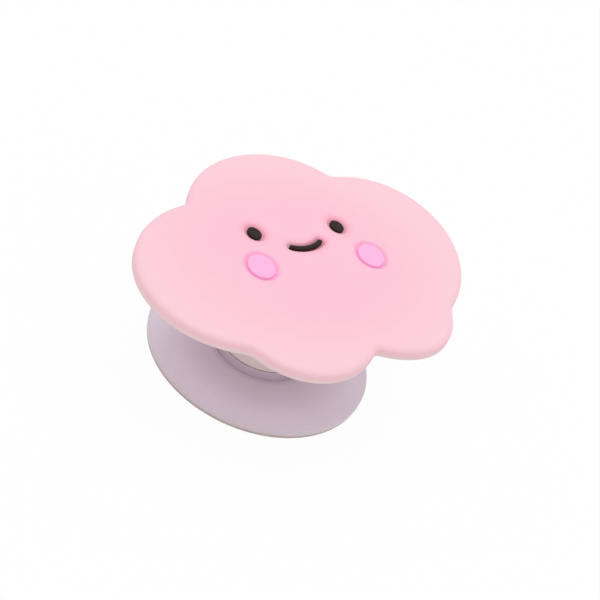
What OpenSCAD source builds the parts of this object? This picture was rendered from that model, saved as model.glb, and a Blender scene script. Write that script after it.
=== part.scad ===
// Collapsible phone grip with a soft cloud on top.
// The origin is the centre of the adhesive face, +Z runs up the stem and +Y is the top of the face.

/* [Adhesive pad] */
// Thickness of the adhesive pad
pad_h = 0.6; // [0.3:0.1:1.5]
// How far the pad's edge lies inside the rim
pad_inset = 0.1; // [0.05:0.05:3]

/* [Base plate] */
// Radius of the base plate
base_r = 20; // [18:0.5:28]
// Thickness of the plate at its rim
rim_h = 0.9; // [0.7:0.1:2]
// Rounding of the rim's upper edge
rim_round = 0.35; // [0.1:0.05:0.6]
// Rise of the plate's dome from the rim to the hub
dome_rise = 0.45; // [0.2:0.05:3]
// Height of the hub's shoulder above the dome
hub_h = 1.05; // [0.5:0.05:3]
// How much wider the hub is at its foot than at its shoulder
hub_draft = 0.25; // [0.1:0.05:1]
// How far the shoulder stands out past the stem
hub_step = 0.15; // [0.05:0.05:1]
// Rounding of the shoulder
hub_round = 0.25; // [0.1:0.05:0.4]
// Width of the half-round crease at the hub's foot
crease_w = 0.5; // [0.2:0.05:0.8]
// Height of the snap neck above the shoulder
neck_h = 2.2; // [1.8:0.1:2.4]
// Height of the bead round the neck's top
bead_h = 0.9; // [0.6:0.1:1.2]
// How far the bead stands out from the neck
bead_out = 0.4; // [0.2:0.05:0.5]
// Wall of the hollow neck
neck_wall = 1.1; // [0.7:0.1:2]

/* [Folding stem] */
// Outer radius of the stem's lower collar
stem_r = 7.9; // [7:0.1:9]
// Height from the hub's shoulder to the top plate, fully extended
stem_h = 17.2; // [15:0.1:22]
// Outer radius of the stem's widest ring
crown_r = 14.4; // [13:0.1:16]
// Number of folds
folds = 3; // [2:1:4]
// Thickness of the stem's stiff panels
panel_t = 0.9; // [0.7:0.05:1.2]
// Thickness of the living hinges between the panels
hinge_t = 0.45; // [0.3:0.05:0.6]
// Length of each living hinge on either side of its fold
hinge_len = 0.4; // [0.3:0.05:0.6]
// Rise of each sloping panel
slope_h = 1.5; // [1:0.1:2]
// Height of the lower collar
collar_h = 2.6; // [2.5:0.1:4]
// Thickness of the flange that the top plate holds
flange_h = 0.8; // [0.5:0.1:1.2]
// How far the flange stands out
flange_out = 0.6; // [0.4:0.1:1.2]
// Play between the stem and the plates that it turns in
snap_gap = 0.1; // [0.05:0.01:0.2]

/* [Top plate] */
// How far the top plate reaches past its ring
plate_rim = 0.9; // [0.3:0.1:4]
// Thickness of the top plate
plate_h = 1.6; // [1:0.1:3]
// Rounding of the top plate's lower edge
plate_round = 0.6; // [0.2:0.1:0.9]
// Wall of the ring under the top plate
ring_wall = 1.2; // [0.8:0.1:2]
// Height of the snap lip at the ring's mouth
lip_h = 0.5; // [0.3:0.1:1]
// How far the lip reaches in under the flange
lip_in = 0.4; // [0.2:0.05:0.5]

/* [Cloud] */
// Thickness of the whole cloud
cloud_h = 2.2; // [1.8:0.1:5]
// Thickness of the pale backing layer
backing_h = 0.8; // [0.5:0.05:1.2]
// Rounding of the cloud's upper edge
cloud_round = 0.9; // [0.3:0.05:1.1]
// Rounding of the backing's lower edge
backing_round = 0.2; // [0.05:0.05:0.4]
// Centre and half axes of the lobe over the face
top_lobe = [0.6, 8.5, 18.4, 15.9]; // [-30:0.1:30]
// Tilt of the lobe over the face
top_tilt = 38; // [-90:1:90]
// Centre and half axes of the right lobe
right_lobe = [13.8, -0.7, 20.4, 16.7]; // [-30:0.1:30]
// Tilt of the right lobe
right_tilt = 48; // [-90:1:90]
// Centre and half axes of the small lower right lobe
lower_lobe = [5.5, -3.2, 15.7, 22.4]; // [-30:0.1:30]
// Tilt of the small lower right lobe
lower_tilt = 23; // [-90:1:90]
// Centre and half axes of the lower left lobe
foot_lobe = [-6.5, -11.9, 13.2, 15.1]; // [-30:0.1:30]
// Tilt of the lower left lobe
foot_tilt = -27; // [-90:1:90]
// Centre and half axes of the left lobe
left_lobe = [-12.3, -2.9, 18.8, 16.8]; // [-30:0.1:30]
// Tilt of the left lobe
left_tilt = 12; // [-90:1:90]
// How sharply the lobes meet in the notches
notch_power = 60; // [20:1:120]

/* [Face] */
// Middle line of the face, from the stem's axis
face_x = 1.65; // [-6:0.05:6]
// Height of the eyes above the stem's axis
eye_y = 5.1; // [4.5:0.1:10]
// Distance of each eye from the face's middle line
eye_off = 8.3; // [5:0.1:10]
// Width of an eye
eye_w = 2.4; // [1:0.1:4]
// Height of an eye
eye_l = 2.9; // [1:0.1:4]
// Height of the cheeks from the stem's axis, below it if negative
cheek_y = -2.55; // [-8:0.05:-1]
// Distance of each cheek from the face's middle line
cheek_off = 10.95; // [9:0.05:13]
// Width of a cheek
cheek_w = 4.7; // [3:0.1:6]
// Height of a cheek
cheek_l = 5.6; // [3:0.1:6]
// Tilt of the cheeks, to the right if negative
cheek_tilt = -20; // [-90:1:90]
// Middle of the smile's arc, from the stem's axis
smile_y = 0.7; // [-2:0.1:2]
// Radius of the smile's arc
smile_r = 6.2; // [5:0.1:12]
// Half of the angle that the smile spans
smile_half = 29; // [12:1:34]
// How far the smile's right end is turned up
smile_tilt = 7; // [-15:1:15]
// Width of the smile's stroke
smile_w = 0.9; // [0.6:0.1:1.6]
// Rounding of the inlays' upper edges
inlay_round = 0.15; // [0.05:0.05:0.3]
// Depth of the pockets that the inlays stand in
pocket_h = 0.75; // [0.6:0.05:0.85]
// Width of the groove that is left round each inlay
groove_w = 0.55; // [0.2:0.05:0.8]
// Rounding of the pockets' upper edges
pocket_round = 0.5; // [0.05:0.05:0.55]

/* [Hidden] */

// Levels, from the adhesive face up
rim_top = pad_h + rim_h;
dome_top = rim_top + dome_rise;
shoulder_z = dome_top + hub_h;
neck_top = shoulder_z + neck_h;
bead_z = neck_top - bead_h;
stem_foot = shoulder_z + snap_gap;
plate_z = shoulder_z + stem_h;
stem_head = plate_z - snap_gap;
flange_z = stem_head - flange_h;
lip_top = flange_z - snap_gap;
ring_z = lip_top - lip_h;
cloud_z = plate_z + plate_h;
pink_z = cloud_z + backing_h;
face_z = cloud_z + cloud_h;
pocket_z = face_z - pocket_h;

// Radii about the stem's axis
pad_r = base_r - pad_inset;
hub_r = stem_r + hub_step;
hub_foot_r = hub_r + hub_draft;
crease_r = hub_foot_r + crease_w / 2;
collar_bore = stem_r - panel_t - bead_out;
neck_r = collar_bore - snap_gap;
bead_r = neck_r + bead_out;
core_r = neck_r - neck_wall;
bead_groove_r = bead_r + snap_gap;
flange_r = crown_r + flange_out;
ring_r = flange_r + snap_gap;
lip_r = ring_r - lip_in;
ring_out_r = ring_r + ring_wall;
plate_r = ring_out_r + plate_rim;

// Smoothness of turned parts, of arcs in a section and of the outlines
turn_fn = 96;
arc_steps = 6;
outline_step = 1.5;
inlay_points = 36;
round_steps = 4;

function arc(centre, r, from, to, n = arc_steps) =
    [for (i = [0:n]) let (a = from + (to - from) * i / n) centre + r * [cos(a), sin(a)]];

// Distance from the stem's axis to the edge of one lobe, in one direction
function lobe_reach(lobe, tilt, inset, a) = let (
        size = [lobe[2] - inset, lobe[3] - inset],
        ray = [cos(a - tilt) / size.x, sin(a - tilt) / size.y],
        far = [(lobe.x * cos(tilt) + lobe.y * sin(tilt)) / size.x,
            (lobe.y * cos(tilt) - lobe.x * sin(tilt)) / size.y],
        along = ray * far,
        inside = along * along - (ray * ray) * (far * far - 1)
    ) inside > 0 ? max(0, (along + sqrt(inside)) / (ray * ray)) : 0;

// The outline follows the lobe that reaches furthest, with the notches between lobes softened
function cloud_reach(a, inset) = let (
        reach = [
            lobe_reach(top_lobe, top_tilt, inset, a),
            lobe_reach(right_lobe, right_tilt, inset, a),
            lobe_reach(lower_lobe, lower_tilt, inset, a),
            lobe_reach(foot_lobe, foot_tilt, inset, a),
            lobe_reach(left_lobe, left_tilt, inset, a)
        ],
        most = max(reach),
        shares = [for (r = reach) pow(r / most, notch_power)]
    ) most * pow(shares * [1, 1, 1, 1, 1], 1 / notch_power);

cloud_outline = function (inset)
    [for (a = [0:outline_step:360 - outline_step]) cloud_reach(a, inset) * [cos(a), sin(a)]];

function oval(centre, w, l, tilt = 0) = function (inset)
    [for (i = [0:inlay_points - 1])
        let (a = 360 * i / inlay_points, across = (w / 2 - inset) * cos(a), along = (l / 2 - inset) * sin(a))
        centre + [across * cos(tilt) - along * sin(tilt), across * sin(tilt) + along * cos(tilt)]];

// The smile's outline starts at its left tip, follows the lower edge and comes back along the upper one
smile_centre = [face_x - smile_r * sin(smile_tilt), smile_y + smile_r * cos(smile_tilt)];
smile_from = smile_tilt - 90 - smile_half;
smile_to = smile_tilt - 90 + smile_half;
function smile_tip(a) = smile_centre + smile_r * [cos(a), sin(a)];
smile_outline = function (inset) let (half_w = smile_w / 2 - inset) concat(
        arc(smile_tip(smile_from), half_w, smile_from - 80, smile_from - 20, 3),
        arc(smile_centre, smile_r + half_w, smile_from, smile_to, 12),
        arc(smile_tip(smile_to), half_w, smile_to + 20, smile_to + 160, 7),
        arc(smile_centre, smile_r - half_w, smile_to, smile_from, 12),
        arc(smile_tip(smile_from), half_w, smile_from - 160, smile_from - 100, 3));

function face_place(off, y) = [face_x + off, y];
eye_left_outline = oval(face_place(-eye_off, eye_y), eye_w, eye_l);
eye_right_outline = oval(face_place(eye_off, eye_y), eye_w, eye_l);
cheek_left_outline = oval(face_place(-cheek_off, cheek_y), cheek_w, cheek_l, cheek_tilt);
cheek_right_outline = oval(face_place(cheek_off, cheek_y), cheek_w, cheek_l, cheek_tilt);

// Insets and heights of the rings that round an edge: upward for an upper edge, downward for a lower one
function rounding(z, r, way) =
    [for (i = [0:round_steps]) let (a = 90 * i / round_steps) [r * (1 - cos(a)), z + way * r * sin(a)]];

// The end face of a loft: one polygon, or bands across it that pair its first point with its last
function cap(n, first, banded) = banded
    ? [for (i = [0:n / 2 - 2]) [first + i, first + i + 1, first + n - 2 - i, first + n - 1 - i]]
    : [[for (i = [0:n - 1]) first + i]];

function turned(face) = [for (i = [len(face) - 1:-1:0]) face[i]];

// A closed solid through one outline at several insets and heights, given from the bottom up
module loft(outline, rings, banded = false) {
    n = len(outline(0));
    last = len(rings) - 1;
    points = [for (ring = rings) for (p = outline(ring[0])) [p.x, p.y, ring[1]]];
    sides = [for (k = [0:last - 1]) for (i = [0:n - 1]) let (j = (i + 1) % n)
        [k * n + i, (k + 1) * n + i, (k + 1) * n + j, k * n + j]];
    top = [for (face = cap(n, last * n, banded)) turned(face)];
    polyhedron(points, concat(cap(n, 0, banded), sides, top), convexity = 8);
}

// An inlay stands on the floor of its pocket, and its top is level with the face
module inlay(outline) {
    loft(outline, concat([[0, pocket_z]], rounding(face_z - inlay_round, inlay_round, 1)), banded = true);
}

// A pocket is wider than its inlay by the groove, and its upper edge flares out in a rounding
module pocket(outline) {
    flare = [for (ring = rounding(face_z - pocket_round, pocket_round, 1)) [-groove_w - ring[0], ring[1]]];
    loft(outline, concat([[-groove_w, pocket_z]], flare,
        [[-groove_w - pocket_round, face_z + 1]]), banded = true);
}

module adhesive_pad() {
    color([0.78, 0.71, 0.68]) cylinder(r = pad_r, h = pad_h, $fn = turn_fn);
}

module base_section() {
    polygon(concat(
        [[0, pad_h], [base_r, pad_h]],
        arc([base_r - rim_round, rim_top - rim_round], rim_round, 0, 90),
        arc([crease_r, dome_top], crease_w / 2, 0, -180, 8),
        arc([hub_r - hub_round, shoulder_z - hub_round], hub_round, 0, 90),
        [[neck_r, shoulder_z], [neck_r, bead_z], [bead_r, bead_z + bead_out / 2],
            [bead_r, bead_z + bead_out], [neck_r, neck_top], [0, neck_top]]
    ));
}

module base_plate() {
    color([0.80, 0.74, 0.79]) rotate_extrude($fn = turn_fn) difference() {
        base_section();
        translate([0, pad_h]) square([core_r, neck_top - neck_wall - pad_h]);
    }
}

// Fold points up the middle of the stem's wall: a sloping panel and an upright one for each fold
low_r = stem_r - panel_t / 2;
ring_step = (crown_r - stem_r) / folds;
collar_top = stem_foot + collar_h;
upright_h = (flange_z - panel_t - collar_top) / folds - slope_h;
fold_points = concat([[low_r, collar_top]],
    [for (i = [1:folds]) for (end = [0:1])
        [low_r + ring_step * i, collar_top + (slope_h + upright_h) * i - upright_h * (1 - end)]]);

// A flat strip between two points, cut short by trim at both ends
module strip(from, to, thick, trim) {
    run = to - from;
    translate(from) rotate(atan2(run.y, run.x))
        translate([trim, -thick / 2]) square([norm(run) - 2 * trim, thick]);
}

module stem_section() {
    for (i = [1:len(fold_points) - 1]) {
        strip(fold_points[i - 1], fold_points[i], hinge_t, 0);
        strip(fold_points[i - 1], fold_points[i], panel_t, hinge_len);
        translate(fold_points[i - 1]) circle(d = hinge_t, $fn = 24);
    }
    difference() {
        translate([collar_bore, stem_foot]) square([stem_r - collar_bore, collar_h]);
        translate([0, bead_z - snap_gap]) square([bead_groove_r, bead_h + 2 * snap_gap]);
    }
    translate([crown_r - panel_t, flange_z - panel_t]) square([panel_t, panel_t + flange_h]);
    translate([crown_r - panel_t, flange_z]) square([panel_t + flange_out, flange_h]);
}

module folding_stem() {
    color([0.90, 0.87, 0.83]) rotate_extrude($fn = turn_fn) stem_section();
}

module top_plate() {
    color([0.93, 0.90, 0.87]) rotate_extrude($fn = turn_fn) difference() {
        union() {
            polygon(concat([[0, plate_z]],
                arc([plate_r - plate_round, plate_z + plate_round], plate_round, -90, 0),
                [[plate_r, cloud_z], [0, cloud_z]]));
            translate([lip_r, ring_z]) square([ring_out_r - lip_r, plate_z - ring_z]);
        }
        translate([0, lip_top]) square([ring_r, plate_z - lip_top]);
    }
}

module cloud_backing() {
    color([0.91, 0.81, 0.80]) loft(cloud_outline, concat(
        [for (i = [round_steps:-1:0]) rounding(cloud_z + backing_round, backing_round, -1)[i]],
        [[0, pink_z]]));
}

module cloud_body() {
    color([0.99, 0.78, 0.86]) difference() {
        loft(cloud_outline, concat([[0, pink_z]], rounding(face_z - cloud_round, cloud_round, 1)));
        pocket(eye_left_outline);
        pocket(eye_right_outline);
        pocket(smile_outline);
        pocket(cheek_left_outline);
        pocket(cheek_right_outline);
    }
}

module eye_left() { color([0.25, 0.19, 0.20]) inlay(eye_left_outline); }
module eye_right() { color([0.25, 0.19, 0.20]) inlay(eye_right_outline); }
module smile() { color([0.25, 0.19, 0.20]) inlay(smile_outline); }
module cheek_left() { color([1.0, 0.74, 0.90]) inlay(cheek_left_outline); }
module cheek_right() { color([1.0, 0.74, 0.90]) inlay(cheek_right_outline); }

adhesive_pad();
base_plate();
folding_stem();
top_plate();
cloud_backing();
cloud_body();
eye_left();
eye_right();
smile();
cheek_left();
cheek_right();
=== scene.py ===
# %% [markdown]
# # A phone grip with a cloud on top
# A collapsible grip sticks to the back of a phone. A lavender disc carries a folding stem, and a soft pink
# cloud of moulded vinyl sits on the stem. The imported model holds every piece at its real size. This script
# gives each piece a finer skin and its finish, and films it from the photograph's angle. The places of the
# camera, the lamp and the floor are in metres, and the sizes of the pieces in millimetres.

# %% Load the frame
import math

import bmesh
import bpy
import numpy as np
from mathutils import Matrix, Vector


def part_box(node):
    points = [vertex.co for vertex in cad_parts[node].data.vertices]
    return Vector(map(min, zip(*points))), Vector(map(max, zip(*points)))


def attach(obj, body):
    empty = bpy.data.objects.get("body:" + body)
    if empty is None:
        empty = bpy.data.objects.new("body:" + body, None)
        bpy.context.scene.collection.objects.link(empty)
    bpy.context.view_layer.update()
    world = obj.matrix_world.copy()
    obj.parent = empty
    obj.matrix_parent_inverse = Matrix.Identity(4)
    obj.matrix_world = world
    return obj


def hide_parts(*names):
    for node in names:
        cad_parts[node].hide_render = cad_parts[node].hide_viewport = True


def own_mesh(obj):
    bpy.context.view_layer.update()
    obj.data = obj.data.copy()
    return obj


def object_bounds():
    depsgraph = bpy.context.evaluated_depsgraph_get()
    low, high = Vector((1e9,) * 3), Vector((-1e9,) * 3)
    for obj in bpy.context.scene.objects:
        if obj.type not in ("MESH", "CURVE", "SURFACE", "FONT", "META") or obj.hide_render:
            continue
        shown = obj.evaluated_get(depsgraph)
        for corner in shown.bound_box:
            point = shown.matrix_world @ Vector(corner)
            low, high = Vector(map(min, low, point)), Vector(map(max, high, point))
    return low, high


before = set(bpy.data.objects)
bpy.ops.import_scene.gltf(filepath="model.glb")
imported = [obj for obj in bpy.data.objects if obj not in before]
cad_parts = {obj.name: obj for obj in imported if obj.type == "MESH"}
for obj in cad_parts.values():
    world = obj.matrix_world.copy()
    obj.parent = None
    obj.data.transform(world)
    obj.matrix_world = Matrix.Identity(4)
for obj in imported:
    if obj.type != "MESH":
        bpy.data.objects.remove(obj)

CAD_BOX = [list(corner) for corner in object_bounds()]
MM = 0.001
print("nodes:", ", ".join(sorted(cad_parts)))
print("box of the CAD model in mm:", [[round(v / MM, 2) for v in corner] for corner in CAD_BOX])

# %% [markdown]
# ## The camera
# The photograph looks down on the grip from its lower left, and the camera is rolled, so that the base
# leans to the left. The lens is a long one, because the far side of the disc is hardly smaller than the
# near side. A camera could be turned by hand until the picture fits. Here three angles place it: how far
# round, how high, and how much it is rolled. Each of them can be read and changed by itself.

# %% Place the camera
VIEW_AROUND = math.radians(-44.917)
VIEW_HEIGHT = math.radians(37.97)
VIEW_ROLL = math.radians(24.76)
VIEW_DISTANCE = 0.240
AIM_RIGHT, AIM_UP = 0.00301, 0.01131
LENS, SENSOR = 82.42, 36.0
CLIP_START = 0.01


def place_camera():
    back = Vector((
        math.sin(VIEW_AROUND) * math.cos(VIEW_HEIGHT),
        -math.cos(VIEW_AROUND) * math.cos(VIEW_HEIGHT),
        math.sin(VIEW_HEIGHT),
    ))
    level = Vector((math.cos(VIEW_AROUND), math.sin(VIEW_AROUND), 0))
    rise = back.cross(level)
    right = math.cos(VIEW_ROLL) * level + math.sin(VIEW_ROLL) * rise
    up = math.cos(VIEW_ROLL) * rise - math.sin(VIEW_ROLL) * level
    data = bpy.data.cameras.new("camera")
    data.lens = LENS
    data.sensor_width = SENSOR
    data.clip_start = CLIP_START
    camera = bpy.data.objects.new("camera", data)
    camera.matrix_world = Matrix((right, up, back)).transposed().to_4x4()
    camera.location = back * VIEW_DISTANCE + level * AIM_RIGHT + rise * AIM_UP
    bpy.context.scene.collection.objects.link(camera)
    bpy.context.scene.camera = camera
    return camera


camera = place_camera()
print("camera at", [round(v, 3) for v in camera.location])

# %% [markdown]
# ## The light
# The photograph was lit by a tent: soft light from all round, and a little more of it from above. A
# picture of a studio could give such light, but this one is so even that a white world stands for the
# tent, with one broad lamp over the grip. The camera sees the world as plain white, whatever it gives as
# light, and so do gloss and glass.

# %% Make a node and feed it
def node_of(tree, kind, inputs=None, **settings):
    """A new shader node with its settings and the values of its unlinked inputs."""
    node = tree.nodes.new(kind)
    for name, value in settings.items():
        setattr(node, name, value)
    for name, value in (inputs or {}).items():
        node.inputs[name].default_value = value
    return node


def feed(tree, socket, value):
    """Gives an input a value, or links it to the output that is given instead of one."""
    if isinstance(value, bpy.types.NodeSocket):
        tree.links.new(value, socket)
    else:
        socket.default_value = value


def math_node(tree, operation, first, second):
    """The result of a Math node. Either input is an output of another node or a number."""
    node = node_of(tree, "ShaderNodeMath", operation=operation)
    feed(tree, node.inputs[0], first)
    feed(tree, node.inputs[1], second)
    return node.outputs[0]


def seen_by_eye(tree):
    """A value of 1 for the rays that show a backdrop: from the camera, from gloss and through glass."""
    rays = node_of(tree, "ShaderNodeLightPath").outputs
    direct = math_node(tree, "MAXIMUM", rays["Is Camera Ray"], rays["Is Glossy Ray"])
    return math_node(tree, "MAXIMUM", direct, rays["Is Transmission Ray"])


# %% Build the world
WORLD_LIGHT = 0.75
SEEN_WHITE = 1.0


def build_world():
    world = bpy.data.worlds.new("light_tent")
    world.use_nodes = True
    bpy.context.scene.world = world
    tree = world.node_tree
    tree.nodes.clear()
    white = (1, 1, 1, 1)
    light = node_of(tree, "ShaderNodeBackground", {"Color": white, "Strength": WORLD_LIGHT})
    seen = node_of(tree, "ShaderNodeBackground", {"Color": white, "Strength": SEEN_WHITE})
    mix = node_of(tree, "ShaderNodeMixShader")
    output = node_of(tree, "ShaderNodeOutputWorld")
    tree.links.new(seen_by_eye(tree), mix.inputs["Fac"])
    tree.links.new(light.outputs[0], mix.inputs[1])
    tree.links.new(seen.outputs[0], mix.inputs[2])
    tree.links.new(mix.outputs[0], output.inputs["Surface"])


build_world()
print("world:", bpy.context.scene.world.name)

# %% Hang the lamp
LAMP_PLACE, LAMP_AIM = (0.02, 0.05, 0.60), (0, 0, 0.015)
LAMP_POWER, LAMP_SIZE = 0.95, 0.50


def hang_lamp(name, place, aim, power, size):
    data = bpy.data.lights.new(name, "AREA")
    data.energy = power
    data.shape = "DISK"
    data.size = size
    lamp = bpy.data.objects.new(name, data)
    lamp.location = place
    lamp.rotation_euler = (Vector(aim) - Vector(place)).to_track_quat("-Z", "Y").to_euler()
    bpy.context.scene.collection.objects.link(lamp)


hang_lamp("tent_top", LAMP_PLACE, LAMP_AIM, LAMP_POWER, LAMP_SIZE)
bpy.context.scene.view_settings.view_transform = "Standard"

# %% [markdown]
# ## The floor
# The grip stands on a white floor, so wide that its end is never seen. It could catch the shadow alone and
# be laid over white afterwards. Here it is a plain white floor, and what the eye sees of it is lifted most
# of the way to full white. That takes no second step, and leaves a faint shadow round the disc.

# %% Lay the floor
FLOOR_HALF = 6.0
FLOOR_DROP = 0.00002
FLOOR_PAINT = (0.92, 0.92, 0.92, 1)
FLOOR_LIFT = 0.96


def floor_material():
    material = bpy.data.materials.new("white_floor")
    material.use_nodes = True
    tree = material.node_tree
    tree.nodes.clear()
    matt = node_of(tree, "ShaderNodeBsdfDiffuse", {"Color": FLOOR_PAINT})
    glow = node_of(tree, "ShaderNodeEmission", {"Color": (1, 1, 1, 1), "Strength": SEEN_WHITE})
    mix = node_of(tree, "ShaderNodeMixShader")
    output = node_of(tree, "ShaderNodeOutputMaterial")
    tree.links.new(math_node(tree, "MULTIPLY", seen_by_eye(tree), FLOOR_LIFT), mix.inputs["Fac"])
    tree.links.new(matt.outputs[0], mix.inputs[1])
    tree.links.new(glow.outputs[0], mix.inputs[2])
    tree.links.new(mix.outputs[0], output.inputs["Surface"])
    return material


def lay_floor():
    mesh = bpy.data.meshes.new("floor")
    low = CAD_BOX[0][2] - FLOOR_DROP
    corners = [(x * FLOOR_HALF, y * FLOOR_HALF, low) for x, y in ((-1, -1), (1, -1), (1, 1), (-1, 1))]
    mesh.from_pydata(corners, [], [(0, 1, 2, 3)])
    mesh.materials.append(floor_material())
    floor = bpy.data.objects.new("floor", mesh)
    bpy.context.scene.collection.objects.link(floor)
    print("floor laid at z =", round(low / MM, 3), "mm")


lay_floor()

# %% [markdown]
# ## Effects that several finishes share
# Nearly every piece here is moulded, so three effects come back in the finishes. The skin of a mould
# leaves a fine grain and slow waves. The colour of a soft plastic drifts a little from place to place. And
# in patches, as if fingers had rubbed it, it is a little smoother. Each effect could be built anew in
# every material. As a group of nodes with named inputs it is built once, and placed in each material with
# values of its own. Sizes in the groups are in millimetres.

# %% Make a group with named sockets
def new_group(name, inputs, outputs):
    """A shader group and its input and output nodes. Each socket is (name, kind, default)."""
    group = bpy.data.node_groups.new(name, "ShaderNodeTree")
    for direction, sockets in (("INPUT", inputs), ("OUTPUT", outputs)):
        for label, kind, default in sockets:
            socket = group.interface.new_socket(
                name=label, in_out=direction, socket_type="NodeSocket" + kind)
            if direction == "INPUT":
                socket.default_value = default
    return group, group.nodes.new("NodeGroupInput"), group.nodes.new("NodeGroupOutput")


# %% Make patches of noise
NOISE_ROUGHNESS = 0.55
NOISE_MIDDLE = 0.5


def patches(tree, size, detail):
    """A noise between 0 and 1 whose patches are size millimetres across."""
    place = node_of(tree, "ShaderNodeTexCoord")
    noise = node_of(tree, "ShaderNodeTexNoise", {"Detail": detail, "Roughness": NOISE_ROUGHNESS})
    tree.links.new(place.outputs["Object"], noise.inputs["Vector"])
    tree.links.new(math_node(tree, "DIVIDE", 1 / MM, size), noise.inputs["Scale"])
    return noise.outputs["Fac"]


def swing(tree, size, detail, depth):
    """A noise that swings about zero. From its lowest to its highest it spans depth at most."""
    centred = math_node(tree, "SUBTRACT", patches(tree, size, detail), NOISE_MIDDLE)
    return math_node(tree, "MULTIPLY", centred, depth)


# %% Moulded skin
def build_moulded_skin():
    group, given, result = new_group(
        "moulded_skin",
        [("Grain Size", "Float", 0.3), ("Grain Depth", "Float", 0.01),
         ("Wave Size", "Float", 8.0), ("Wave Depth", "Float", 0.02)],
        [("Height", "Float", 0)])
    heights = [swing(group, given.outputs[label + " Size"], detail, given.outputs[label + " Depth"])
               for label, detail in (("Grain", 3.0), ("Wave", 1.0))]
    group.links.new(math_node(group, "ADD", *heights), result.inputs["Height"])
    return group


MOULDED_SKIN = build_moulded_skin()
print("group:", MOULDED_SKIN.name)


# %% Colour drift
DRIFT_LOW, DRIFT_HIGH = 0.3, 0.7
# A Mix node has sockets for numbers, for vectors and for colours. These are the places of the last.
MIX_SHARE, MIX_FIRST, MIX_SECOND, MIX_RESULT = 0, 6, 7, 2


def mixed(tree, share, first, second, blend="MIX"):
    """The colour that a Mix node gives. Its share and its two colours are outputs or plain values."""
    node = node_of(tree, "ShaderNodeMix", data_type="RGBA", blend_type=blend)
    feed(tree, node.inputs[MIX_SHARE], share)
    feed(tree, node.inputs[MIX_FIRST], first)
    feed(tree, node.inputs[MIX_SECOND], second)
    return node.outputs[MIX_RESULT]


def build_colour_drift():
    group, given, result = new_group(
        "colour_drift",
        [("Color", "Color", (1, 1, 1, 1)), ("Other Color", "Color", (1, 1, 1, 1)),
         ("Patch Size", "Float", 10.0), ("Amount", "Float", 0.3)],
        [("Color", "Color", (1, 1, 1, 1))])
    spread = node_of(group, "ShaderNodeMapRange", {"From Min": DRIFT_LOW, "From Max": DRIFT_HIGH})
    group.links.new(patches(group, given.outputs["Patch Size"], detail=2.0), spread.inputs["Value"])
    share = math_node(group, "MULTIPLY", spread.outputs[0], given.outputs["Amount"])
    colour = mixed(group, share, given.outputs["Color"], given.outputs["Other Color"])
    group.links.new(colour, result.inputs["Color"])
    return group


COLOUR_DRIFT = build_colour_drift()
print("group:", COLOUR_DRIFT.name)


# %% Rubbed gloss
def build_rubbed_gloss():
    group, given, result = new_group(
        "rubbed_gloss",
        [("Roughness", "Float", 0.5), ("Spread", "Float", 0.1), ("Patch Size", "Float", 6.0)],
        [("Roughness", "Float", 0.5)])
    change = swing(group, given.outputs["Patch Size"], 4.0, given.outputs["Spread"])
    roughness = math_node(group, "ADD", given.outputs["Roughness"], change)
    group.links.new(roughness, result.inputs["Roughness"])
    return group


RUBBED_GLOSS = build_rubbed_gloss()
print("group:", RUBBED_GLOSS.name)

# %% [markdown]
# ## The finishes
# All finishes are one Principled shader with the three groups in front of it. What changes over the
# surface comes through the groups, and what is the same all over is set on the shader itself. Soft vinyl
# mirrors less than a hard plastic does, so its index of refraction is lower.

# %% Make a moulded finish
SOFT_IOR, HARD_IOR = 1.45, 1.60
FINISHES = {}


def place_group(tree, group, inputs):
    node = node_of(tree, "ShaderNodeGroup")
    node.node_tree = group
    for name, value in inputs.items():
        node.inputs[name].default_value = value
    return node


def moulded(name, colour, other, drift, roughness, rub, grain, wave, ior):
    """A moulded finish. drift, rub, grain and wave are pairs: a size in millimetres and an amount."""
    material = bpy.data.materials.new(name)
    material.use_nodes = True
    tree = material.node_tree
    principled = tree.nodes["Principled BSDF"]
    tint = place_group(tree, COLOUR_DRIFT, {
        "Color": (*colour, 1), "Other Color": (*other, 1), "Patch Size": drift[0], "Amount": drift[1]})
    gloss = place_group(tree, RUBBED_GLOSS, {
        "Roughness": roughness, "Patch Size": rub[0], "Spread": rub[1]})
    skin = place_group(tree, MOULDED_SKIN, {
        "Grain Size": grain[0], "Grain Depth": grain[1], "Wave Size": wave[0], "Wave Depth": wave[1]})
    bump = node_of(tree, "ShaderNodeBump", {"Distance": MM})
    tree.links.new(tint.outputs["Color"], principled.inputs["Base Color"])
    tree.links.new(gloss.outputs["Roughness"], principled.inputs["Roughness"])
    tree.links.new(skin.outputs["Height"], bump.inputs["Height"])
    tree.links.new(bump.outputs["Normal"], principled.inputs["Normal"])
    principled.inputs["IOR"].default_value = ior
    FINISHES[name] = material
    print("finish:", name)
    return material


def base_colour(material):
    """The node tree of a finish, the input of its base colour and the output that feeds it so far."""
    socket = material.node_tree.nodes["Principled BSDF"].inputs["Base Color"]
    return material.node_tree, socket, socket.links[0].from_socket


# %% [markdown]
# The cloud is pink vinyl, a little deeper in the middle and paler towards its edge. That fade is part of
# this one finish, so it isn't a group: it mixes a paler pink in by the distance from the middle of the
# cloud. Three more tones are mixed in, and they are mostly painted shade. The side is warmer low down, over
# the cream backing: partly the backing's colour bleeding into the soft vinyl, partly painted shade where the
# side turns away from the lamp. The hollows round the dark inlays are painted a deeper pink, as shade inside
# them, and a deeper ring of painted shade lies in the groove round each cheek. These tones could be painted
# on a picture. A mask that the mesh carries for each of the three needs no picture and follows the shape,
# and every mask mixes its own tone in.

# %% Pink vinyl
PINK, OTHER_PINK = (0.990, 0.555, 0.685), (0.990, 0.570, 0.685)
PALE_PINK = (0.990, 0.628, 0.708)
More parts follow.
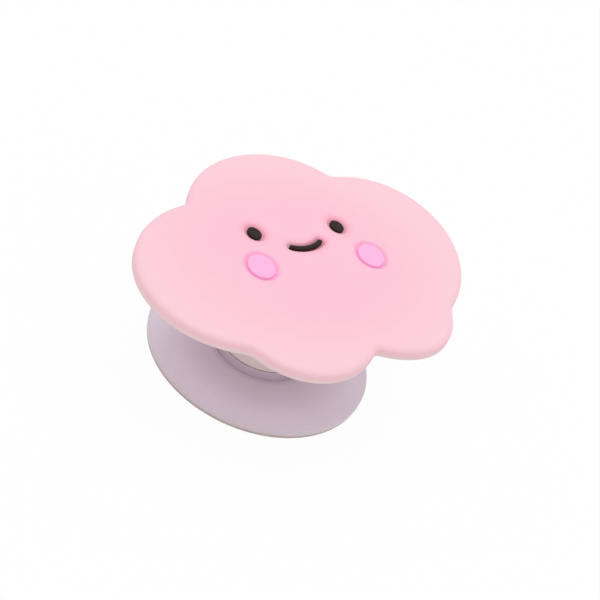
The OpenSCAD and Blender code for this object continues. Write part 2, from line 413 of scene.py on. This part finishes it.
# Tones of painted shade: the lower side (partly the backing's colour too), the hollows round the dark
# inlays, and the groove round each cheek.
PINK_SHADE_MASKS = {
    "side": (0.990, 0.602, 0.655),
    "hollow": (1.000, 0.410, 0.545),
    "ring": (1.000, 0.400, 0.680),
}
PINK_MIDDLE = (-0.0010, -0.0010, 0)
PINK_REACH = (0.031, 0.026, 1.0)
FADE_FROM, FADE_TO = 0.45, 1.0


def vector_node(tree, operation, first, second=(0, 0, 0)):
    """The result of a Vector Math node: a number for LENGTH, and a vector otherwise."""
    node = node_of(tree, "ShaderNodeVectorMath", operation=operation)
    feed(tree, node.inputs[0], first)
    feed(tree, node.inputs[1], second)
    return node.outputs["Value" if operation == "LENGTH" else "Vector"]


def pink_vinyl():
    material = moulded("cloud_vinyl", PINK, OTHER_PINK, drift=(9.0, 0.6), roughness=0.50, rub=(5.0, 0.10),
                       grain=(0.25, 0.004), wave=(7.0, 0.02), ior=SOFT_IOR)
    tree, socket, colour = base_colour(material)
    place = node_of(tree, "ShaderNodeTexCoord").outputs["Object"]
    off = vector_node(tree, "SUBTRACT", place, PINK_MIDDLE)
    distance = vector_node(tree, "LENGTH", vector_node(tree, "DIVIDE", off, PINK_REACH))
    fade = node_of(tree, "ShaderNodeMapRange", {"From Min": FADE_FROM, "From Max": FADE_TO},
                   interpolation_type="SMOOTHSTEP")
    tree.links.new(distance, fade.inputs["Value"])
    colour = mixed(tree, fade.outputs[0], colour, (*PALE_PINK, 1))
    # Each mask mixes in its tone of painted shade.
    for mask, tone in PINK_SHADE_MASKS.items():
        share = node_of(tree, "ShaderNodeAttribute", attribute_name=mask).outputs["Fac"]
        colour = mixed(tree, share, colour, (*tone, 1))
    tree.links.new(colour, socket)


pink_vinyl()

# %% [markdown]
# The backing under the pink is a cream vinyl. The inlays of the face are a vinyl that is nearly black, and
# the cheeks a blush pink one. All three are plain moulded finishes. The dark inlays are so dull in the
# photograph that they hardly mirror the tent, and an index of refraction lower than any real vinyl's
# stands for that.

# %% Backing, dark and blush vinyl
DULL_IOR = 1.22
moulded("backing_vinyl", (0.915, 0.672, 0.680), (0.895, 0.652, 0.662), drift=(8.0, 0.5), roughness=0.55,
        rub=(5.0, 0.10), grain=(0.3, 0.006), wave=(6.0, 0.02), ior=SOFT_IOR)
moulded("dark_vinyl", (0.026, 0.015, 0.013), (0.032, 0.019, 0.016), drift=(2.0, 0.5), roughness=0.50,
        rub=(1.5, 0.12), grain=(0.15, 0.004), wave=(2.0, 0.01), ior=DULL_IOR)
moulded("blush_vinyl", (0.995, 0.485, 0.785), (0.995, 0.470, 0.770), drift=(3.0, 0.5), roughness=0.50,
        rub=(2.0, 0.10), grain=(0.2, 0.004), wave=(2.5, 0.01), ior=SOFT_IOR)

# %% [markdown]
# The disc is a smooth lavender plastic. In the photograph it turns darker and warmer towards the hub, by
# more than the shade of the cloud alone gives here, and its rounded rim is warmer too. Tones of painted
# shade by the distance from the middle stand in for that: darker towards the hub, where the cloud shades the
# disc, and darker and warmer on the rim, where it would catch light. A colour ramp runs from each one to the
# next.

# %% Lavender plastic
LAVENDER, OTHER_LAVENDER = (0.845, 0.755, 0.900), (0.835, 0.753, 0.880)
# Tones of painted shade that multiply the lavender: darker round the hub under the cloud, and darker and
# warmer on the rounded rim.
HUB_WALL_SHADE, HUB_CREASE_SHADE, HUB_SHADE = (0.73, 0.65, 0.64), (0.70, 0.63, 0.66), (0.82, 0.81, 0.82)
MID_DISC_SHADE, OUTER_DISC, RIM_EDGE_SHADE = (0.88, 0.875, 0.875), (1.0, 1.0, 1.0), (0.90, 0.85, 0.79)
DISC_SHADE_TONES = [(8.0, HUB_WALL_SHADE), (8.7, HUB_CREASE_SHADE), (9.8, HUB_SHADE), (13.0, MID_DISC_SHADE), (17.0, OUTER_DISC),
         (19.6, OUTER_DISC), (19.92, RIM_EDGE_SHADE)]
TONE_REACH = 20.0


def shade_ramp(tree, distance):
    """The painted shade at a distance from the middle that is given as a share of TONE_REACH."""
    ramp = node_of(tree, "ShaderNodeValToRGB")
    stops = ramp.color_ramp.elements
    stops.remove(stops[0])
    for radius, tone in DISC_SHADE_TONES[:-1]:
        stops.new(radius / TONE_REACH).color = (*tone, 1)
    stops[-1].position = DISC_SHADE_TONES[-1][0] / TONE_REACH
    stops[-1].color = (*DISC_SHADE_TONES[-1][1], 1)
    tree.links.new(distance, ramp.inputs["Fac"])
    return ramp.outputs["Color"]


def lavender_plastic():
    material = moulded("lavender_plastic", LAVENDER, OTHER_LAVENDER, drift=(10.0, 0.5), roughness=0.25,
                       rub=(8.0, 0.08), grain=(0.4, 0.003), wave=(9.0, 0.02), ior=HARD_IOR)
    tree, socket, colour = base_colour(material)
    place = node_of(tree, "ShaderNodeTexCoord").outputs["Object"]
    from_axis = vector_node(tree, "LENGTH", vector_node(tree, "MULTIPLY", place, (1, 1, 0)))
    distance = math_node(tree, "DIVIDE", from_axis, TONE_REACH * MM)
    # The painted shade of the ramp multiplies the lavender.
    tree.links.new(mixed(tree, 1.0, colour, shade_ramp(tree, distance), "MULTIPLY"), socket)


lavender_plastic()

# %% [markdown]
# The stem is an elastomer, soft enough to fold, and the plate that it carries is a hard plastic: both are
# off-white. The pad under the disc is a thin pale brown foam, rougher and with a coarser grain.

# %% Stem, plate and pad
moulded("stem_elastomer", (0.920, 0.785, 0.740), (0.900, 0.765, 0.715), drift=(5.0, 0.6), roughness=0.48,
        rub=(4.0, 0.12), grain=(0.25, 0.005), wave=(4.0, 0.02), ior=SOFT_IOR)
moulded("plate_plastic", (0.850, 0.790, 0.730), (0.830, 0.770, 0.710), drift=(8.0, 0.5), roughness=0.42,
        rub=(6.0, 0.10), grain=(0.3, 0.004), wave=(6.0, 0.02), ior=HARD_IOR)
moulded("adhesive", (0.600, 0.500, 0.480), (0.640, 0.540, 0.510), drift=(1.2, 0.6), roughness=0.80,
        rub=(1.0, 0.10), grain=(0.35, 0.05), wave=(3.0, 0.03), ior=SOFT_IOR)

# %% [markdown]
# ## Working with outlines
# The cloud and the inlays are flat shapes with rounded edges. Each outline could be drawn once more as a
# curve with handles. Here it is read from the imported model, so nothing is drawn twice: the points of one
# level are put in order, and a smooth closed curve is laid through them. With more points than the packed
# one has, it gives smooth silhouettes from near by. The curve swells a hair past the straight sides that
# it replaces, so the cloud's outline is taken in by as much.

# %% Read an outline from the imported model
LEVEL_GAP, LEVEL_DIGITS = 0.01, 4


def outline_at(node, z):
    """The points of a node's edge at height z, in order, anticlockwise, in millimetres."""
    points = np.array([v.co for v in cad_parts[node].data.vertices]) / MM
    level = np.unique(points[np.abs(points[:, 2] - z) < LEVEL_GAP][:, :2].round(LEVEL_DIGITS), axis=0)
    order, left = [0], set(range(1, len(level)))
    while left:
        here = level[order[-1]]
        nearest = min(left, key=lambda i: np.hypot(*(level[i] - here)))
        order.append(nearest)
        left.remove(nearest)
    loop = level[order]
    turn = np.sum(loop[:, 0] * np.roll(loop[:, 1], -1) - np.roll(loop[:, 0], -1) * loop[:, 1])
    return loop if turn > 0 else loop[::-1]


pink_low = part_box("cloud_body")[0].z / MM
packed_outline = outline_at("cloud_backing", pink_low)
print("points on the packed outline of the cloud:", len(packed_outline))


# %% Lay a smooth curve through it
def smooth_loop(points, count):
    """count evenly spaced points of the closed cubic spline through the given points."""
    ahead = np.roll(points, -1, 0)
    step = np.linalg.norm(ahead - points, axis=1)
    before = np.roll(step, 1)
    row = np.arange(len(points))
    matrix = np.zeros((len(points), len(points)))
    matrix[row, row] = 2 * (before + step)
    matrix[row, (row + 1) % len(row)] = step
    matrix[row, (row - 1) % len(row)] = before
    slope = (ahead - points) / step[:, None]
    bend = np.linalg.solve(matrix, 6 * (slope - np.roll(slope, 1, 0)))
    travel = np.linspace(0, step.sum(), count, endpoint=False)
    part = np.searchsorted(np.cumsum(step), travel, side="right")
    along = (travel - (np.cumsum(step) - step)[part])[:, None]
    length = step[part, None]
    first, second = bend[part], bend[(part + 1) % len(row)]
    rise = slope[part] - length * (2 * first + second) / 6
    return points[part] + along * rise + along**2 * first / 2 + along**3 * (second - first) / (6 * length)


def inset(outline, distance):
    """The outline moved inward by a distance in millimetres, or outward if it is negative."""
    along = np.roll(outline, -1, 0) - np.roll(outline, 1, 0)
    inward = np.stack([-along[:, 1], along[:, 0]], 1) / np.linalg.norm(along, axis=1)[:, None]
    return outline + distance * inward


OUTLINE_POINTS = 900
SPLINE_SWELL = 0.01
cloud_outline = inset(smooth_loop(packed_outline, OUTLINE_POINTS), SPLINE_SWELL)
edge_length = np.linalg.norm(np.roll(cloud_outline, -1, 0) - cloud_outline, axis=1).sum()
print("edge of the cloud:", round(float(edge_length), 1), "mm in", OUTLINE_POINTS, "points")


# %% [markdown]
# A skin is built from rings. Each ring is the outline at some height, moved inward by some distance, and
# quads join it to the next one. A Bevel modifier could round the edges too, but it gives them the same
# width on both faces, and the cloud's rounding reaches further inward than down.

# %% Build skins from rings
ROUND_STEPS = 5


def ring(mesh, outline, z):
    return [mesh.verts.new((x * MM, y * MM, z * MM)) for x, y in outline]


def bridge(mesh, low, high):
    """Quads between two rings with as many points."""
    for i in range(len(low)):
        j = (i + 1) % len(low)
        mesh.faces.new((low[i], low[j], high[j], high[i]))


def stack(mesh, outline, levels):
    """Rings of an outline at several (inset, height) pairs, joined in order."""
    rings = [ring(mesh, inset(outline, distance), z) for distance, z in levels]
    for low, high in zip(rings, rings[1:]):
        bridge(mesh, low, high)
    return rings


def quarter(steps):
    """Pairs (1 - cos, sin) from 0 to a quarter turn."""
    angles = [math.pi / 2 * i / steps for i in range(steps + 1)]
    return [(1 - math.cos(a), math.sin(a)) for a in angles]


def rounded_edge(face, inward, down, steps=ROUND_STEPS):
    """Levels of a rounding that ends on a face: (inset, height). Under a face, down is negative."""
    return [(inward * out, face - down * (1 - up)) for out, up in quarter(steps)]


def close_ends(mesh, rings):
    """Flat faces over the first ring and the last one."""
    mesh.faces.new(rings[0][::-1])
    mesh.faces.new(rings[-1])


print("steps of a small rounding:", ROUND_STEPS)

# %% Turn a skin into a piece
SHARP_ANGLE = math.radians(35)


def finish_piece(name, mesh, body, slot, *nodes):
    """Turns a bmesh into a smooth-shaded object with its finish, riding on its body."""
    bmesh.ops.recalc_face_normals(mesh, faces=mesh.faces)
    data = bpy.data.meshes.new(name)
    mesh.to_mesh(data)
    mesh.free()
    data.shade_smooth()
    data.set_sharp_from_angle(angle=SHARP_ANGLE)
    data.materials.append(FINISHES[slot])
    piece = bpy.data.objects.new(name, data)
    bpy.context.scene.collection.objects.link(piece)
    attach(piece, body)
    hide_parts(*nodes)
    print(f"{name}: {len(data.polygons)} faces, {[round(d / MM, 1) for d in piece.dimensions]} mm")
    return piece


# %% [markdown]
# ## The cloud
# The cloud is two layers of soft vinyl with one outline, a cream one below and a pink one above. The pink
# has a broad rounded edge and the cream a tight one. Both could be one mesh with two finishes, but they
# are two pieces on the real grip, so each is closed all round, also where they meet.

# %% Shape the backing
BACKING_ROUND = 0.20
backing_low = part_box("cloud_backing")[0].z / MM


def shape_backing():
    mesh = bmesh.new()
    lower = rounded_edge(backing_low, BACKING_ROUND, -BACKING_ROUND)
    close_ends(mesh, stack(mesh, cloud_outline, lower[::-1] + [(0, pink_low)]))
    finish_piece("cream_backing", mesh, "top", "backing_vinyl", "cloud_backing")


shape_backing()

# %% [markdown]
# Every inlay stands on the floor of its own pocket. The soft pink slopes down to it from the face, as a wave
# does, with no edge at the mouth and none at the foot. A Boolean could cut the pockets, but the cut leaves
# long thin faces that shade badly, and rings round the inlay's outline don't. A pocket has a mouth so wide
# and a slope so deep, in millimetres from the inlay's edge and from the face. It also has the mask of
# painted shade that tints it, how far that shade reaches and how strong it is. As in the photograph, the
# painted shade is a little stronger towards the upper right of the face, the far side of each pocket, which
# the light reaches last.

# %% Cut the pockets
INLAY_POINTS = 160
EYE_POCKET = {"mouth": 0.90, "deep": 0.50, "mask": "hollow", "halo": 1.90, "tint": 0.95}
SMILE_POCKET = {"mouth": 0.80, "deep": 0.65, "mask": "hollow", "halo": 1.60, "tint": 0.95}
CHEEK_POCKET = {"mouth": 1.05, "deep": 0.50, "mask": "ring", "halo": 0.95, "tint": 0.85}
POCKETS = {"eye_left": EYE_POCKET, "eye_right": EYE_POCKET, "smile": SMILE_POCKET,
           "cheek_left": CHEEK_POCKET, "cheek_right": CHEEK_POCKET}
SLOPE_STEPS = 12
AROUND_REACH, AROUND_STEPS = 1.90, 4
# The painted shade round the pockets leans towards their far side, which the light reaches last.
HALO_LEAN = np.array([0.25, 0.25])
pink_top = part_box("cloud_body")[1].z / MM
pocket_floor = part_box("eye_left")[0].z / MM
inlay_outlines = {n: smooth_loop(outline_at(n, pocket_floor), INLAY_POINTS) for n in POCKETS}
print("pockets go down", round(pink_top - pocket_floor, 2), "mm from the face")


def pocket_levels(mouth, deep):
    """Levels of a pocket: the face round it, the slope down from its mouth, and its floor."""
    around = [(-AROUND_REACH + (AROUND_REACH - mouth) * k / AROUND_STEPS, pink_top)
              for k in range(AROUND_STEPS)]
    shares = [k / SLOPE_STEPS for k in range(SLOPE_STEPS + 1)]
    slope = [(-mouth * (1 - t), pink_top - deep * (1 - math.cos(math.pi * t)) / 2) for t in shares]
    return around + slope + [(0, pocket_floor)]


def cut_pocket(mesh, node):
    """The skin of one pocket, from the face round it down to its floor. Returns the outermost ring."""
    mouth, deep, mask, halo, tint = POCKETS[node].values()
    levels = pocket_levels(mouth, deep)
    outline = inlay_outlines[node]
    middle = outline.mean(0)
    rings = stack(mesh, outline, levels)
    mesh.faces.new(rings[-1])
    # The mask is painted shade: strongest at the floor, gone at the halo's reach, and a little stronger on
    # the far side.
    layer = mesh.verts.layers.float[mask]
    for vertices, (distance, _) in zip(rings, levels):
        for vertex, spot in zip(vertices, outline):
            lean = 1 + HALO_LEAN @ (spot - middle) / np.linalg.norm(spot - middle)
            vertex[layer] = tint * lean * max(0, 1 + distance / halo)
    return rings[0]


# %% [markdown]
# The rounding of the pink is swept round the outline in small steps. The flat face then has to be filled
# between that edge and the rims of the five pockets. A single polygon can't have holes, so triangles fill
# it, and as they lie in one plane they shade as one face.

# %% Shape the pink cloud
CLOUD_ROUND_DOWN, CLOUD_ROUND_IN, CLOUD_ROUND_STEPS = 0.95, 1.25, 14


def shape_pink():
    mesh = bmesh.new()
    for mask in PINK_SHADE_MASKS:
        mesh.verts.layers.float.new(mask)
    # The side mask is painted shade, strongest at the foot of the rounding, and partly the backing's colour
    # too.
    side = mesh.verts.layers.float["side"]
    edge = rounded_edge(pink_top, CLOUD_ROUND_IN, CLOUD_ROUND_DOWN, CLOUD_ROUND_STEPS)
    rings = stack(mesh, cloud_outline, [(0, pink_low)] + edge)
    for vertices, up in zip(rings, [0] + [up for _, up in quarter(CLOUD_ROUND_STEPS)]):
        for vertex in vertices:
            vertex[side] = 1 - up
    mesh.faces.new(rings[0][::-1])
    rims = [rings[-1]] + [cut_pocket(mesh, node) for node in POCKETS]
    edges = [mesh.edges.get((rim[i - 1], rim[i])) for rim in rims for i in range(len(rim))]
    bmesh.ops.triangle_fill(mesh, use_beauty=True, edges=edges, normal=(0, 0, 1))
    finish_piece("pink_cloud", mesh, "top", "cloud_vinyl", "cloud_body")


shape_pink()

# %% [markdown]
# ## The face
# Each inlay is a small slab of coloured vinyl on the floor of its pocket. It could be flat on top, but then
# the whole of it would be one tone. So each is very slightly crowned, with a small rounding at its edge.

# %% Shape the inlays
INLAY_ROUND = 0.15
CROWN_H, CROWN_SPAN, CROWN_STEPS = 0.03, 0.8, 5
EYE_HALF, SMILE_HALF, CHEEK_HALF = 1.0, 0.45, 2.2


def shape_inlay(node, name, slot, half_width):
    """An inlay. Its crown rises over most of the half width, the least one from edge to middle line."""
    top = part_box(node)[1].z / MM - CROWN_H
    edge = rounded_edge(top, INLAY_ROUND, INLAY_ROUND)
    span = CROWN_SPAN * half_width - INLAY_ROUND
    crown = [(INLAY_ROUND + span * k / CROWN_STEPS, top + CROWN_H * (1 - (1 - k / CROWN_STEPS) ** 2))
             for k in range(1, CROWN_STEPS + 1)]
    mesh = bmesh.new()
    close_ends(mesh, stack(mesh, inlay_outlines[node], [(0, pocket_floor)] + edge + crown))
    finish_piece(name, mesh, "top", slot, node)


shape_inlay("eye_left", "left_eye", "dark_vinyl", EYE_HALF)
shape_inlay("eye_right", "right_eye", "dark_vinyl", EYE_HALF)
shape_inlay("smile", "mouth", "dark_vinyl", SMILE_HALF)
shape_inlay("cheek_left", "left_cheek", "blush_vinyl", CHEEK_HALF)
shape_inlay("cheek_right", "right_cheek", "blush_vinyl", CHEEK_HALF)

# %% [markdown]
# ## Turned pieces
# The disc, the pad, the stem and the plate are all round, so each is one section turned about the stem's
# axis. A Screw modifier turns a section too. Here the rings of the cloud do it, and where the section
# meets the axis a fan of triangles ends in one point. A section is a list of corners, each with the radius
# that softens it: on a real moulding no corner is quite sharp, and small roundings catch the light.

# %% Soften the corners of a section
ARC_STEPS = 5
SIDE_SHARE = 0.45
CRISP, FINE, PLAIN, SOFT, BROAD = 0.05, 0.08, 0.10, 0.12, 0.15
print("roundings in mm:", CRISP, FINE, PLAIN, SOFT, BROAD)


def soften(corners, closed):
    """Points of a section whose corners (r, z, radius) get arcs, on SIDE_SHARE of a side at most."""
    points = []
    for i, (r, z, radius) in enumerate(corners):
        here = Vector((r, z))
        is_end = not closed and i in (0, len(corners) - 1)
        if radius == 0 or is_end:
            points.append(here)
            continue
        back = Vector(corners[i - 1][:2]) - here
        ahead = Vector(corners[(i + 1) % len(corners)][:2]) - here
        half = back.angle(ahead) / 2
        reach = min(radius / math.tan(half), SIDE_SHARE * back.length, SIDE_SHARE * ahead.length)
        start, stop = here + back.normalized() * reach, here + ahead.normalized() * reach
        middle = here + (back.normalized() + ahead.normalized()).normalized() * reach / math.cos(half)
        begin, end = [math.atan2(*(p - middle).yx) for p in (start, stop)]
        sweep = (end - begin + math.pi) % (2 * math.pi) - math.pi
        for k in range(ARC_STEPS + 1):
            angle = begin + sweep * k / ARC_STEPS
            points.append(middle + (start - middle).length * Vector((math.cos(angle), math.sin(angle))))
    return points


# %% Turn a section
TURN_STEPS = 240
TURN = [2 * math.pi * k / TURN_STEPS for k in range(TURN_STEPS)]
CIRCLE = np.array([(math.cos(angle), math.sin(angle)) for angle in TURN])
ON_AXIS = 1e-6
print("a turned ring has", TURN_STEPS, "points")


def turn(mesh, section, closed=False):
    """Skins a section of (r, z) points turned about the Z axis, in millimetres."""
    rings = [ring(mesh, r * CIRCLE if r > ON_AXIS else [(0, 0)], z) for r, z in section]
    pairs = list(zip(rings, rings[1:])) + ([(rings[-1], rings[0])] if closed else [])
    for low, high in pairs:
        if len(low) == len(high):
            bridge(mesh, low, high)
        else:
            tip, wide = (low[0], high) if len(low) == 1 else (high[0], low)
            for i in range(len(wide)):
                mesh.faces.new((tip, wide[i - 1], wide[i]))


def turned_piece(name, corners, body, slot, node, closed=False):
    mesh = bmesh.new()
    turn(mesh, soften(corners, closed), closed)
    return finish_piece(name, mesh, body, slot, node)


# %% [markdown]
# ## The disc and its pad
# The disc is a shallow dome with a low hub, and a small crease runs round the hub's foot. The stem snaps
# over the beaded neck on the hub. A foam pad with a tacky face sticks the disc to the phone. The pad's
# size, the disc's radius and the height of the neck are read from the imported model. What lies between
# repeats the sizes that it is constructed with.

# %% Shape the pad
pad_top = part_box("adhesive_pad")[1].z / MM
pad_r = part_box("adhesive_pad")[1].x / MM
pad_section = [(0, 0, 0), (pad_r, 0, SOFT), (pad_r, pad_top, FINE), (0, pad_top, 0)]
turned_piece("tacky_pad", pad_section, "base", "adhesive", "adhesive_pad")

# %% Shape the disc
disc_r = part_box("base_plate")[1].x / MM
neck_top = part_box("base_plate")[1].z / MM
RIM_H, RIM_ROUND, RIM_FOOT_ROUND = 0.90, 0.35, 0.06
DOME_RISE, HUB_RISE, HUB_ROUND = 0.45, 1.05, 0.22
HUB_FOOT_R, HUB_R = 8.30, 8.05
CREASE_W, CREASE_SIDE = 0.50, 0.3
NECK_R, BEAD_OUT, BEAD_H = 6.50, 0.40, 0.90
CORE_R, CORE_ROUND, NECK_WALL = 5.40, 0.20, 1.10
bead_low = neck_top - BEAD_H


def disc_section():
    rim_top = pad_top + RIM_H
    dome_top = rim_top + DOME_RISE
    crease_low = dome_top - CREASE_W / 2
    shoulder = dome_top + HUB_RISE
    core_top = neck_top - NECK_WALL
    bead_r = NECK_R + BEAD_OUT
    core = [(0, core_top, 0), (CORE_R, core_top, CORE_ROUND), (CORE_R, pad_top, CRISP)]
    rim = [(disc_r, pad_top, RIM_FOOT_ROUND), (disc_r, rim_top, RIM_ROUND)]
    crease = [(HUB_FOOT_R + CREASE_W, dome_top, BROAD),
              (HUB_FOOT_R + (1 - CREASE_SIDE) * CREASE_W, crease_low, SOFT),
              (HUB_FOOT_R + CREASE_SIDE * CREASE_W, crease_low, SOFT), (HUB_FOOT_R, dome_top, PLAIN)]
    hub = [(HUB_R, shoulder, HUB_ROUND), (NECK_R, shoulder, CRISP)]
    neck = [(NECK_R, bead_low, CRISP), (bead_r, bead_low + BEAD_OUT / 2, FINE),
            (bead_r, bead_low + BEAD_OUT, FINE), (NECK_R, neck_top, PLAIN), (0, neck_top, 0)]
    return core + rim + crease + hub + neck


turned_piece("lavender_disc", disc_section(), "base", "lavender_plastic", "base_plate")

# %% [markdown]
# ## The folding stem
# The stem is one moulding of soft elastomer: a stepped cone of stiff panels with a thin hinge at each
# fold, a collar that snaps over the neck and a flange that the top plate holds. The outside alone would do
# for the photograph, but in a moved pose the wall is seen from both sides. So the section follows the
# middle line of the wall, panel by panel, and thins out at every fold. Its folds are hidden in the
# photograph and are a guess.

# %% Shape the stem
STEM_R, CROWN_R = 7.90, 14.40
FOLDS, PANEL, HINGE, HINGE_REACH = 3, 0.90, 0.45, 0.40
SLOPE_H, COLLAR_H, FLANGE_H, FLANGE_OUT = 1.50, 2.60, 0.80, 0.60
BEAD_PLAY = 0.10
stem_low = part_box("folding_stem")[0].z / MM
stem_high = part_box("folding_stem")[1].z / MM
collar_top = stem_low + COLLAR_H
flange_low = stem_high - FLANGE_H
collar_bore = STEM_R - PANEL - BEAD_OUT


def fold_points():
    """The folds on the middle line of the wall, from the collar up to the flange."""
    r, z = STEM_R - PANEL / 2, collar_top
    step = (CROWN_R - STEM_R) / FOLDS
    upright = (flange_low - PANEL - collar_top) / FOLDS - SLOPE_H
    points = [Vector((r, z))]
    for _ in range(FOLDS):
        points.append(points[-1] + Vector((step, SLOPE_H)))
        points.append(points[-1] + Vector((0, upright)))
    return points


def wall_side(points, side):
    """Corners along one side of the wall: +1 outside, -1 inside. It thins at each fold."""
    corners = []
    for low, high in zip(points, points[1:]):
        along = (high - low).normalized()
        out = side * Vector((along.y, -along.x))
        for place in (low + along * HINGE_REACH, high - along * HINGE_REACH):
            corners.append((place, out))
    section = []
    for k, (place, out) in enumerate(corners):
        thin, thick = place + out * HINGE / 2, place + out * PANEL / 2
        pair = (thin, thick) if k % 2 == 0 else (thick, thin)
        section += [(*pair[0], PLAIN), (*pair[1], PLAIN)]
    return section


def stem_section():
    folds = fold_points()
    groove_low = bead_low - BEAD_PLAY
    groove_high = neck_top + BEAD_PLAY
    groove_r = NECK_R + BEAD_OUT + BEAD_PLAY
    flange_r = CROWN_R + FLANGE_OUT
    flange_foot = flange_low - PANEL
    outer = [(STEM_R, stem_low, SOFT), (STEM_R, collar_top, PLAIN)] + wall_side(folds, 1)
    flange = [(CROWN_R, flange_foot, FINE), (CROWN_R, flange_low, PLAIN), (flange_r, flange_low, SOFT),
              (flange_r, stem_high, BROAD), (CROWN_R - PANEL, stem_high, SOFT),
              (CROWN_R - PANEL, flange_foot, FINE)]
    inner = wall_side(folds, -1)[::-1]
    collar = [(collar_bore, collar_top, PLAIN), (collar_bore, groove_high, FINE),
              (groove_r, groove_high, FINE), (groove_r, groove_low, FINE),
              (collar_bore, groove_low, FINE), (collar_bore, stem_low, PLAIN)]
    return outer + flange + inner + collar


stem = turned_piece("elastomer_stem", stem_section(), "stem", "stem_elastomer", "folding_stem", closed=True)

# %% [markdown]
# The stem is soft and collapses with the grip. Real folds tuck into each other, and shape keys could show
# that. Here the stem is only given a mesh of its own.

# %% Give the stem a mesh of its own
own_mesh(stem)

# %% [markdown]
# ## The top plate
# A stiff plate carries the soft cloud. The ring under it has a small lip that snaps over the stem's
# flange, so the top turns and doesn't come off. Plate, ring and lip are one section, turned as the disc is.

# %% Shape the top plate
plate_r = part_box("top_plate")[1].x / MM
ring_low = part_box("top_plate")[0].z / MM
plate_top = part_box("top_plate")[1].z / MM
PLATE_H, PLATE_ROUND = 1.60, 0.60
LIP_H, LIP_IN, RING_WALL, RING_ROUND = 0.50, 0.40, 1.20, 0.20


def plate_section():
    ring_r = CROWN_R + FLANGE_OUT + BEAD_PLAY
    plate_low = plate_top - PLATE_H
    lip_top = ring_low + LIP_H
    inside = [(0, plate_low, 0), (ring_r, plate_low, BROAD), (ring_r, lip_top, CRISP)]
    lip = [(ring_r - LIP_IN, lip_top, FINE), (ring_r - LIP_IN, ring_low, SOFT)]
    outside = [(ring_r + RING_WALL, ring_low, RING_ROUND), (ring_r + RING_WALL, plate_low, BROAD)]
    plate = [(plate_r, plate_low, PLATE_ROUND), (plate_r, plate_top, FINE), (0, plate_top, 0)]
    return inside + lip + outside + plate


turned_piece("stiff_plate", plate_section(), "top", "plate_plastic", "top_plate")
